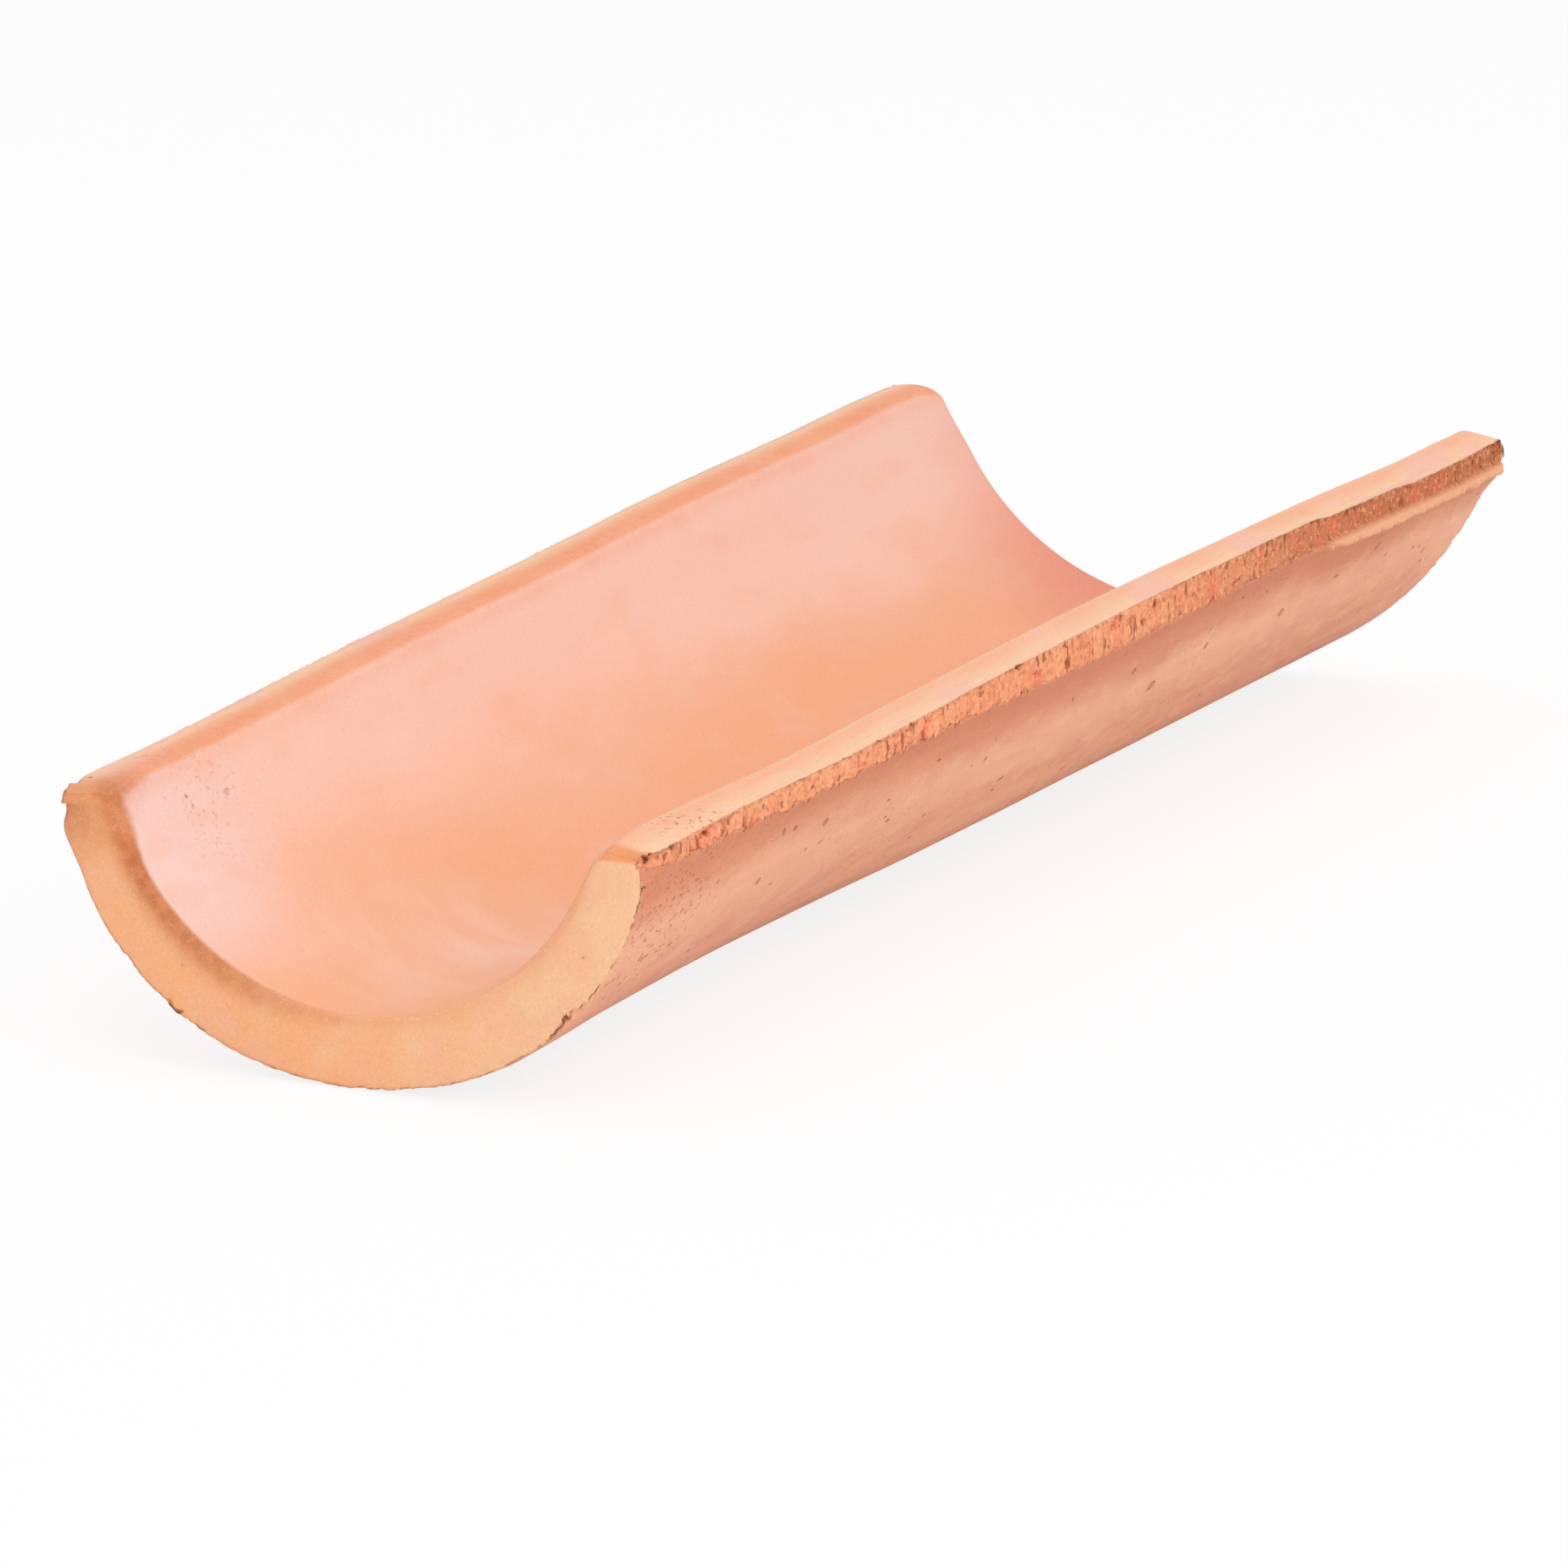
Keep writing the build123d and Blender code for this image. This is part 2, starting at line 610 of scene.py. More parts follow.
@dataclass
class RoofTile:
    """The whole tile: one slab of clay, draped, trimmed and fired."""

    name: str = "roof_tile_clay"
    form: TileForm = field(default_factory=TileForm)
    shaping: HandShaping = field(default_factory=HandShaping)
    relief: Relief = field(default_factory=Relief)
    columns: int = 100
    rows: int = 120
    layers: int = 14
    end_zone: float = 8 * MM
    end_cuts: tuple[int, int] = (2, 4)
    brink: float = 2.2 * MM
    trim_cuts: int = 6
    rough_rim: float = 0.35

    def roll_out(self) -> bmesh.types.BMesh:
        """Roll out the flat slab, in shares, with a finer mesh where the clay is torn or worn.

        Returns:
            A closed slab from -1 to 1 across and along, and from 0 to 1 deep.
        """
        slab = bmesh.new()
        bmesh.ops.create_grid(slab, x_segments=self.columns, y_segments=self.rows, size=1)
        sheet = slab.faces[:]
        risen = bmesh.ops.extrude_face_region(slab, geom=sheet, use_keep_orig=True)
        top = [item for item in risen["geom"] if isinstance(item, bmesh.types.BMVert)]
        bmesh.ops.translate(slab, verts=top, vec=(0, 0, 1))
        upright = [edge for edge in slab.edges if self.spans(edge, 2)]
        bmesh.ops.subdivide_edges(slab, edges=upright, cuts=self.layers - 1, use_grid_fill=True)
        for axis in (0, 1):
            ends = [edge for edge in slab.edges if self.is_near_end(edge, axis, self.end_zone)]
            cuts = self.end_cuts[axis]
            bmesh.ops.subdivide_edges(slab, edges=ends, cuts=cuts, use_grid_fill=True)
        brink = [edge for edge in slab.edges if self.is_near_end(edge, 1, self.brink)]
        bmesh.ops.subdivide_edges(slab, edges=brink, cuts=1, use_grid_fill=True)
        crevice = [edge for edge in slab.edges if self.is_at_narrow_end(edge)]
        bmesh.ops.subdivide_edges(slab, edges=crevice, cuts=1, use_grid_fill=True)
        rough = [edge for edge in slab.edges if self.is_coarse_trim(edge)]
        bmesh.ops.subdivide_edges(slab, edges=rough, cuts=self.trim_cuts, use_grid_fill=True)
        torn = [edge for edge in slab.edges if self.is_torn(edge)]
        bmesh.ops.subdivide_edges(slab, edges=torn, cuts=1, use_grid_fill=True)
        bmesh.ops.recalc_face_normals(slab, faces=slab.faces[:])
        return slab

    @staticmethod
    def spans(edge: bmesh.types.BMEdge, axis: int) -> bool:
        """True for an edge that runs along one axis only."""
        step = edge.verts[1].co - edge.verts[0].co
        return abs(step[axis]) > 1e-6 and abs(step.length - abs(step[axis])) < 1e-6

    def is_near_end(self, edge: bmesh.types.BMEdge, axis: int, zone: float) -> bool:
        """True for an edge that runs along one axis within a distance of either end."""
        bound = 1 - 2 * zone / self.form.length - 1e-6
        return self.spans(edge, axis) and all(abs(vert.co.y) > bound for vert in edge.verts)

    def is_at_narrow_end(self, edge: bmesh.types.BMEdge) -> bool:
        """True for an edge that runs across the tile at the brink of its narrow end."""
        bound = 2 * self.brink / self.form.length - 1 + 1e-6
        return self.spans(edge, 0) and all(vert.co.y < bound for vert in edge.verts)

    def is_coarse_trim(self, edge: bmesh.types.BMEdge) -> bool:
        """True for a lengthwise edge on a trimmed face or a rim that is still coarse."""
        if not self.spans(edge, 1) or abs(edge.verts[0].co.y - edge.verts[1].co.y) < 1.2 / self.rows:
            return False
        across = abs(edge.verts[0].co.x)
        deep = edge.verts[0].co.z
        outside = deep < 1e-6 and across > self.form.body_share + 0.01
        return outside or (across > 1 - 1e-6 and deep < self.rough_rim)

    def is_torn(self, edge: bmesh.types.BMEdge) -> bool:
        """True for an upright edge on the outside of a trimmed face, away from the ends."""
        if not self.spans(edge, 0) or abs(edge.verts[0].co.x - edge.verts[1].co.x) < 1.2 / self.columns:
            return False
        low = min(abs(vert.co.x) for vert in edge.verts)
        return edge.verts[0].co.z < 1e-6 and low > self.form.lip_share - 1e-6

    def drape(self, point: SlabPoint) -> Vector:
        """Bend one point of the flat slab into the trough, with its edges softened.

        Args:
            point: The point in shares. Its slip share and its share of worn edge and painted highlight
                are set here.

        Returns:
            Its place in metres.
        """
        form, shaping = self.form, self.shaping
        across = abs(point.across)
        half_length = form.length / 2
        outer = form.outer(across, point.along)
        inner = form.inner(across, point.along)
        wall = (inner - outer).length
        below, from_end = self.below_rim(across, point.along), half_length * (1 - abs(point.along))
        far = point.along > 0
        gaps, turn = self.soften(
            [below, (1 - point.deep) * wall, from_end],
            shaping.reaches(point.side, far, below, from_end),
            shaping.fold(point.side, far, below, from_end),
        )
        point.corner = shaping.corner(below, from_end)
        flat = outer.lerp(inner, 1 - gaps[1] / wall) + form.flank_down() * (gaps[0] - below)
        self.name_surfaces(point, turn, below)
        if turn is None:
            knock = shaping.knock(point.side, far, below, from_end)
            gaps, _ = self.soften([below, point.deep * wall, from_end], [knock] * 3, 2.0)
            flat = outer.lerp(inner, gaps[1] / wall) - Vector((0, gaps[0] - below))
        along_place = math.copysign(half_length - gaps[2], point.along)
        flat += self.hand_shift(point, flat, below, along_place + half_length)
        return Vector((point.side.value * flat.x, along_place, flat.y))

    @staticmethod
    def soften(
        gaps: list[float], reaches: list[float], fold: float
    ) -> tuple[list[float], Optional[Vector]]:
        """Round the corner between three faces.

        Args:
            gaps: Distance from each face.
            reaches: How far the rounding reaches from each face.
            fold: 2 for a round corner, down to 1 for a flat one.

        Returns:
            The new distances, and how far into the rounding the point is on each axis, if it is.
        """
        shares = Vector([max(0.0, 1 - gap / reach) for gap, reach in zip(gaps, reaches)])
        size = sum(share**fold for share in shares) ** (1 / fold)
        if size <= 1:
            return gaps, None
        moved = [
            reach * (1 - share / size) if share > 0 else gap
            for gap, reach, share in zip(gaps, reaches, shares)
        ]
        return moved, shares

    def name_surfaces(self, point: SlabPoint, turn: Optional[Vector], below: float) -> None:
        """Set which surfaces a point is on, how bare the clay is there, and where the right rim's
        painted highlight lies.

        Args:
            point: The point to set.
            turn: How far it is into the inner rounding: down, into the wall and along.
            below: Distance down from the rim.
        """
        point.on_rim = abs(point.across) > 1 - EDGE and point.deep > EDGE
        point.on_end = abs(point.along) > 1 - EDGE
        point.slip = float(point.deep > 1 - EDGE)
        brow = 0.5 * (1 - ease(1.5 * MM, 6.5 * MM, below)) * point.slip
        point.worn_and_highlight = brow
        if turn is None:
            return
        share = 0.5 + (min(1.0, math.hypot(turn.x, turn.z)) - turn.y) / 2
        at_end = turn.z / (turn.x + turn.z)
        over_end = ease(0.3, 0.7, point.across) * at_end
        point.on_rim = point.on_rim or turn.x >= turn.z
        point.on_end = point.on_end or turn.z > turn.x
        over_rim = 1 - at_end
        slip_from = 0.07 * at_end + 0.23 * over_end
        slip_to = 0.30 + 0.20 * over_rim + 0.66 * over_end
        point.slip = 1 - ease(slip_from, slip_to, share)
        worn_and_highlight = ease(0.0, 0.20 + 0.14 * over_rim, share)
        worn_and_highlight *= 1 - ease(0.54 + 0.12 * over_rim, 1.0 + 0.10 * over_rim, share)
        point.worn_and_highlight = max(brow * over_rim, worn_and_highlight)
        if point.along < 0:
            point.facet = ease(0.0, 0.30, min(turn.x, turn.z)) * (1 - ease(0.3, 0.8, turn.y))

    def hand_shift(self, point: SlabPoint, flat: Vector, below: float, distance: float) -> Vector:
        """How far the hand has bent the section from its true form.

        Args:
            point: The point in shares.
            flat: Its distance from the middle and its height.
            below: Distance down from the rim.
            distance: Distance from the narrow end.

        Returns:
            The shift, outward and upward.
        """
        form, shaping = self.form, self.shaping
        across = abs(point.across)
        lifted = 1 - ease(0, shaping.swell_depth, below)
        shift = Vector((0, lifted * shaping.swell(point.side, distance)))
        up_strip = (1 - across) / (1 - form.lip_share)
        at_lip = up_strip if across > form.lip_share else ease(0.68, form.lip_share, across)
        shift.y += at_lip * (1 - point.deep) * shaping.lip_rise(point.side, distance)
        soft = shaping.softening(point.side)
        pulled = max(0.0, 1 - distance / soft.near_pull_from) ** 2
        shift.x -= soft.near_pull * pulled * ease(0.75, form.lip_share, across) * (1 - point.deep)
        filled = 1 - ease(5 * MM, 20 * MM, distance)
        filled *= math.exp(-(((across - 0.77) / 0.05) ** 2))
        shift.x += soft.near_fill * filled * (1 - point.deep)
        at_arris = (1 - point.deep) * (1 - ease(0, 0.06, 1 - across))
        shift.y += at_arris * shaping.arris_rise(point.side, distance)
        belly = ease(0, 40 * MM, flat.x) * shaping.belly(point.side, distance) * (1 - lifted**2)
        shift.x += belly * (1 - 0.7 * point.deep)
        shift.y -= belly * shaping.belly_drop * (1 - point.deep)
        return shift

    def below_rim(self, across: float, along: float) -> float:
        """Distance down the hollow's surface from the rim, at an unsigned share across."""
        share = (1 - across) / (1 - self.form.body_share)
        if share <= 1:
            return self.form.rim_band * share
        walk = self.form.inner_walk(along) - self.form.rim_band
        return self.form.rim_band + walk * (self.form.body_share - across) / self.form.body_share

    def erode(self, point: SlabPoint, normal: Vector) -> Vector:
        """How far hand, knife and kiln have moved one point.

        Args:
            point: The draped point. Its trim, pit and arris shares are set here.
            normal: The surface's outward direction there.

        Returns:
            The step, in metres.
        """
        relief, form = self.relief, self.form
        place = point.place
        across = abs(point.across)
        step = normal * (-relief.hand_wave * (0.5 + 0.5 * noise.noise(place * 24)))
        if point.deep < EDGE:
            ridge = noise.noise(Vector((point.across * 30, place.y * 9, 4.0)))
            step -= normal * (relief.body_ridge * (0.5 + 0.5 * ridge))
            point.trim = self.trim_share(point) * self.torn_there(point)
            if point.trim > 0:
                depth, dark = self.torn_depth(place)
                depth += relief.trim_recess * ease(220 * MM, 320 * MM, place.y + form.length / 2)
                step.x -= point.side.value * point.trim * depth
                point.pit = dark * point.trim
            if across < form.lip_share:
                below_lip = (form.lip_height(point.along) - place.z) / MM
                hollow = math.exp(-(((below_lip - 3.5) / 3.5) ** 2))
                hollow *= (0.7 + 0.3 * noise.noise(place * 60)) * self.torn_there(point)
                step -= normal * (relief.under_lip * hollow)
            step += self.lip_step(point) * self.torn_there(point)
        step += self.rim_step(point) + self.end_step(point)
        for scar in relief.scars:
            felt = scar.at(place)
            if felt > 0:
                rough = 0.6 + 0.8 * noise.noise(place * 700)
                step -= normal * (scar.depth * felt * rough)
                point.pit = max(point.pit, scar.dark * felt * min(1.0, 0.6 + rough))
        return step

    def lip_step(self, point: SlabPoint) -> Vector:
        """How far the ragged lip is moved at a point of the outside."""
        place, side = point.place, point.side.value
        hang = self.shaping.hang(point.side, place.y + self.form.length / 2) / MM
        tongue = ease(-0.008, 0.002, abs(point.across) - self.form.lip_share) * (1 - point.trim)
        point.lip = tongue * ease(0.2, 1.2, hang)
        lip = math.exp(-(((abs(point.across) - self.form.lip_share) / 0.014) ** 2))
        if lip < 0.02:
            return Vector()
        rag = noise.noise(Vector((3.1, place.y * 260, side)))
        rag += 0.7 * noise.noise(Vector((5.1, place.y * 640, side)))
        rag += 0.5 * noise.noise(Vector((6.1, place.y * 1300, side)))
        notch = ease(0.0, 0.45, noise.noise(Vector((8.3, place.y * 330, side))))
        crumbs = lip * min(1.0, 0.3 + 0.5 * max(0.0, rag)) * (1 - point.trim * 0.5)
        point.lip = max(point.lip, crumbs)
        return Vector((-side * notch * 0.6, 0, rag)) * (lip * self.relief.lip_rag)

    def rim_step(self, point: SlabPoint) -> Vector:
        """How far the rim's outer arris is chipped at a point. Its arris share is set here."""
        relief, place, side = self.relief, point.place, point.side.value
        edge = 0.0
        if point.deep < EDGE:
            edge = ease(0.965, 1.0, abs(point.across))
        elif abs(point.across) > 1 - EDGE:
            edge = 1 - ease(0.0, 0.10, point.deep)
        edge *= 1 - point.corner
        if edge <= 0:
            return Vector()
        point.arris = max(point.arris, edge)
        chip = ease(0.18, 0.50, noise.noise(Vector((place.y * 260, 11.0 * side, 2.0))))
        chip += 0.6 * ease(0.15, 0.5, noise.noise(Vector((place.y * 640, 13.0 * side, 2.0))))
        stepped = ease(-0.04, 0.04, noise.noise(Vector((place.y * 26, 17.0 * side, 2.0))))
        bite = relief.arris_ease + relief.arris_chip * chip
        if point.side is Side.LEFT:
            edge *= 0.35
        return Vector((-side * 0.5 * bite, 0, -bite - relief.arris_step * stepped)) * edge

    def end_step(self, point: SlabPoint) -> Vector:
        """How far an end's outer arris and face are worn at a point. Its arris share is set here."""
        relief, place = self.relief, point.place
        step = Vector()
        edge = 0.0
        if point.deep < EDGE:
            edge = 1 - ease(0.0, relief.end_edge, self.form.length / 2 - abs(place.y))
        elif abs(point.along) > 1 - EDGE:
            edge = 1 - ease(0.0, 0.08, point.deep)
        edge *= 1 - point.corner
        if edge > 0:
            point.arris = max(point.arris, edge)
            chip = ease(0.05, 0.4, noise.noise(place * 330 + Vector((0, 5.0, 0))))
            chip += 0.6 * ease(0.05, 0.5, noise.noise(place * 800 + Vector((0, 9.0, 0))))
            inward = Vector((-place.x, 0, self.form.narrow_radius - place.z)).normalized()
            inward.y = -0.6 * math.copysign(1, place.y)
            rubbed = 0.4 if point.side is Side.LEFT and place.y < 0 else 1.0
            step = inward * ((relief.arris_ease + relief.end_chip * chip) * edge * rubbed)
        if abs(point.along) > 1 - EDGE:
            uneven = relief.end_wave * (0.5 + 0.5 * noise.noise(place * 60))
            uneven += relief.end_grain * (0.5 + 0.5 * noise.noise(place * 800))
            step.y -= math.copysign(uneven, place.y)
        return step

    def trim_share(self, point: SlabPoint) -> float:
        """How much a point of the outside belongs to a torn, trimmed face."""
        form = self.form
        hang = self.shaping.hang(point.side, point.place.y + form.length / 2)
        strip = form.rim_height(point.along) - form.lip_height(point.along)
        torn_from = form.lip_share + (1 - form.lip_share) * hang / (strip + hang)
        return ease(torn_from - 0.012, torn_from + 0.012, abs(point.across))

    def torn_there(self, point: SlabPoint) -> float:
        """0 where the left face was rubbed smooth at the narrow end, 1 elsewhere."""
        if point.side is Side.RIGHT:
            return 1.0
        return ease(5 * MM, 16 * MM, point.place.y + self.form.length / 2)

    def torn_depth(self, place: Vector) -> tuple[float, float]:
        """Depth of the marks that the trimming wire tore in the clay.

        Args:
            place: The point in metres.

        Returns:
            The depth in metres, and how dark it is painted, from 0 to 1: darker where the tear is
            deeper, painted shade in its recesses.
        """
        relief = self.relief
        side = math.copysign(7.0, place.x)
        stretch = ease(-0.15, 0.35, noise.noise(Vector((side, place.y * 18, 0.5))))
        drag = abs(noise.noise(Vector((side, place.y * 430, place.z * 110)))) * (0.25 + 0.75 * stretch)
        crumb = abs(noise.noise(Vector((side, place.y * 520, place.z * 620))))
        crumb += 0.5 * abs(noise.noise(Vector((side + 3, place.y * 1050, place.z * 1150))))
        lump = 0.5 + 0.5 * noise.noise(Vector((side, place.y * 170, place.z * 210)))
        pit = ease(0.36, 0.56, noise.noise(Vector((side + 5, place.y * 430, place.z * 330))))
        depth = relief.trim_drag * drag + relief.trim_crumb * crumb + relief.trim_lump * lump
        # painted shade: the deeper crumbs, drags and pits are painted darker
        dark = min(1.0, 1.1 * crumb * (1 - 0.4 * stretch) + 1.3 * drag * stretch)
        return depth + relief.trim_pit * pit, max(pit, 0.55 * dark)

    def build(self) -> bpy.types.Object:
        """Make the fired tile's mesh, with the zones as vertex attributes.

        Returns:
            The finished object, at the origin.
        """
        slab = self.roll_out()
        points = [SlabPoint(*vert.co) for vert in slab.verts]
        for vert, point in zip(slab.verts, points):
            point.place = self.drape(point)
            vert.co = point.place
        slab.normal_update()
        low, high = cad_box
        for vert, point in zip(slab.verts, points):
            moved = point.place + self.erode(point, vert.normal)
            vert.co = [min(max(value, floor), top) for value, floor, top in zip(moved, low, high)]
        tangled = [face for face in slab.faces if len(face.verts) > 4]
        bmesh.ops.triangulate(slab, faces=tangled)
        mesh = bpy.data.meshes.new(self.name)
        slab.to_mesh(mesh)
        slab.free()
        mesh.shade_smooth()
        for zone in Zone:
            layer = mesh.attributes.new(zone.value, "FLOAT", "POINT")
            layer.data.foreach_set("value", [point.share_of(zone) for point in points])
        tile = bpy.data.objects.new(self.name, mesh)
        bpy.context.scene.collection.objects.link(tile)
        return tile

    def place(self, finish: "FiredClay") -> bpy.types.Object:
        """Build the tile, fire it and set it in the frame.

        Args:
            finish: The clay's finish.

        Returns:
            The object.
        """
        tile = self.build()
        tile.data.materials.append(finish.material())
        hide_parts("clay_tile")
        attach(tile, "root")
        triangles = sum(len(face.vertices) - 2 for face in tile.data.polygons)
        LOG.info("%s: %d triangles", tile.name, triangles)
        return tile


class Signal:
    """A socket of numbers that Python's arithmetic works on."""

    def __init__(self, bench: "Bench", socket: bpy.types.NodeSocket) -> None:
        """Wrap a socket.

        Args:
            bench: Where new nodes are made.
            socket: The output that holds the numbers.
        """
        self.bench = bench
        self.socket = socket

    def __add__(self, other: "Number") -> "Signal":
        """Sum of two signals or numbers."""
        return self.bench.maths("ADD", self, other)

    def __radd__(self, other: "Number") -> "Signal":
        """Sum with a plain number first."""
        return self.bench.maths("ADD", other, self)

    def __sub__(self, other: "Number") -> "Signal":
        """Difference of two signals or numbers."""
        return self.bench.maths("SUBTRACT", self, other)

    def __rsub__(self, other: "Number") -> "Signal":
        """Difference with a plain number first."""
        return self.bench.maths("SUBTRACT", other, self)

    def __mul__(self, other: "Number") -> "Signal":
        """Product of two signals or numbers."""
        return self.bench.maths("MULTIPLY", self, other)

    def __rmul__(self, other: "Number") -> "Signal":
        """Product with a plain number first."""
        return self.bench.maths("MULTIPLY", other, self)

    def __abs__(self) -> "Signal":
        """The signal without its sign."""
        return self.bench.maths("ABSOLUTE", self)

    def ramp(self, low: float, high: float) -> "Signal":
        """Smooth rise from 0 at low to 1 at high, or a fall where low is above high."""
        settings = {"interpolation_type": "SMOOTHSTEP", "clamp": True}
        if low <= high:
            node = self.bench.node("MapRange", settings, {0: self, 1: low, 2: high})
            return Signal(self.bench, node.outputs[0])
        node = self.bench.node("MapRange", settings, {0: self, 1: high, 2: low, 3: 1.0, 4: 0.0})
        return Signal(self.bench, node.outputs[0])


Number = Union[Signal, float]
Link = Union[Signal, bpy.types.NodeSocket, float, Sequence[float]]


class Bench:
    """Makes the nodes of one material or world."""

    def __init__(self, tree: bpy.types.NodeTree) -> None:
        """Clear a node tree to work in.

        Args:
            tree: The tree of a material or world.
        """
        self.tree = tree
        tree.nodes.clear()

    def node(
        self, kind: str, settings: Optional[dict] = None, inputs: Optional[dict] = None
    ) -> bpy.types.Node:
        """Make one node.

        Args:
            kind: Its type, without the ShaderNode in front.
            settings: Its properties, which are set first.
            inputs: Values or links by socket name or number.

        Returns:
            The node.
        """
        made = self.tree.nodes.new("ShaderNode" + kind)
        for key, value in (settings or {}).items():
            setattr(made, key, value)
        for key, value in (inputs or {}).items():
            socket = made.inputs[key]
            if isinstance(value, Signal):
                self.tree.links.new(value.socket, socket)
            elif isinstance(value, bpy.types.NodeSocket):
                self.tree.links.new(value, socket)
            else:
                socket.default_value = value
        return made

    def maths(self, operation: str, *values: Number) -> Signal:
        """Make a Math node of one operation."""
        made = self.node("Math", {"operation": operation}, dict(enumerate(values)))
        return Signal(self, made.outputs[0])

    def blend(self, share: Number, first: Link, second: Link) -> bpy.types.NodeSocket:
        """Mix two colours.

        Args:
            share: How much of the second shows.
            first: A colour or a link to one.
            second: A colour or a link to one.

        Returns:
            The mixed colour's socket.
        """
        colours = {
            key: (*value, 1.0) if isinstance(value, tuple) else value
            for key, value in ((6, first), (7, second))
        }
        made = self.node("Mix", {"data_type": "RGBA"}, {0: share, **colours})
        return made.outputs[2]

    def zone(self, zone: Zone) -> Signal:
        """Share of a vertex zone at each point."""
        made = self.node("Attribute", {"attribute_name": zone.value})
        return Signal(self, made.outputs["Fac"])

    def stretched(
        self, scale: Sequence[float], shift: Sequence[float] = (0, 0, 0), turn: float = 0.0
    ) -> bpy.types.NodeSocket:
        """Object coordinates in another scale, so that a pattern can be long one way.

        Args:
            scale: Times for each axis.
            shift: Moves the pattern.
            turn: Turns it about the upright axis, in radians, before it is scaled.

        Returns:
            The new coordinates.
        """
        place = self.node("TexCoord").outputs["Object"]
        if turn:
            settings = {"rotation_type": "Z_AXIS"}
            place = self.node("VectorRotate", settings, {"Vector": place, "Angle": turn}).outputs[0]
        made = self.node("Mapping", {}, {"Vector": place, "Location": shift, "Scale": scale})
        return made.outputs[0]

    def mottle(
        self,
        scale: Sequence[float],
        detail: float = 2.0,
        shift: Sequence[float] = (0, 0, 0),
        turn: float = 0.0,
    ) -> Signal:
        """Soft noise around 0.5.

        Args:
            scale: Spots to the metre along each axis.
            detail: How many finer layers it has.
            shift: Moves the pattern, so that two alike differ.
            turn: Turns it about the upright axis, in radians.

        Returns:
            The noise.
        """
        place = self.stretched(scale, shift, turn)
        made = self.node("TexNoise", {}, {"Vector": place, "Scale": 1.0, "Detail": detail})
        return Signal(self, made.outputs[0])

    def pores(self, per_metre: float, least: float, shift: Sequence[float] = (0, 0, 0)) -> Signal:
        """Small uneven holes at random places, a little longer along the tile.

        Args:
            per_metre: Spots of the noise to the metre.
            least: The noise above which there is a hole, so that more means fewer holes.
            shift: Moves the pattern, so that two alike differ.

        Returns:
            1 in a hole and 0 outside.
        """
        scale = (per_metre, per_metre * 0.7, per_metre)
        return self.mottle(scale, 1.0, shift).ramp(least, least + 0.05)

    def near(self, place: Sequence[float], reach: float) -> Signal:
        """1 at a place on the tile, falling to 0 at a distance from it."""
        coordinates = self.node("TexCoord").outputs["Object"]
        made = self.node("VectorMath", {"operation": "DISTANCE"}, {0: coordinates, 1: place})
        return Signal(self, made.outputs["Value"]).ramp(reach, 0.0)

    def axis(self, number: int) -> Signal:
        """One of the object's own coordinates, in metres."""
        coordinates = self.node("TexCoord").outputs["Object"]
        return Signal(self, self.node("SeparateXYZ", {}, {0: coordinates}).outputs[number])


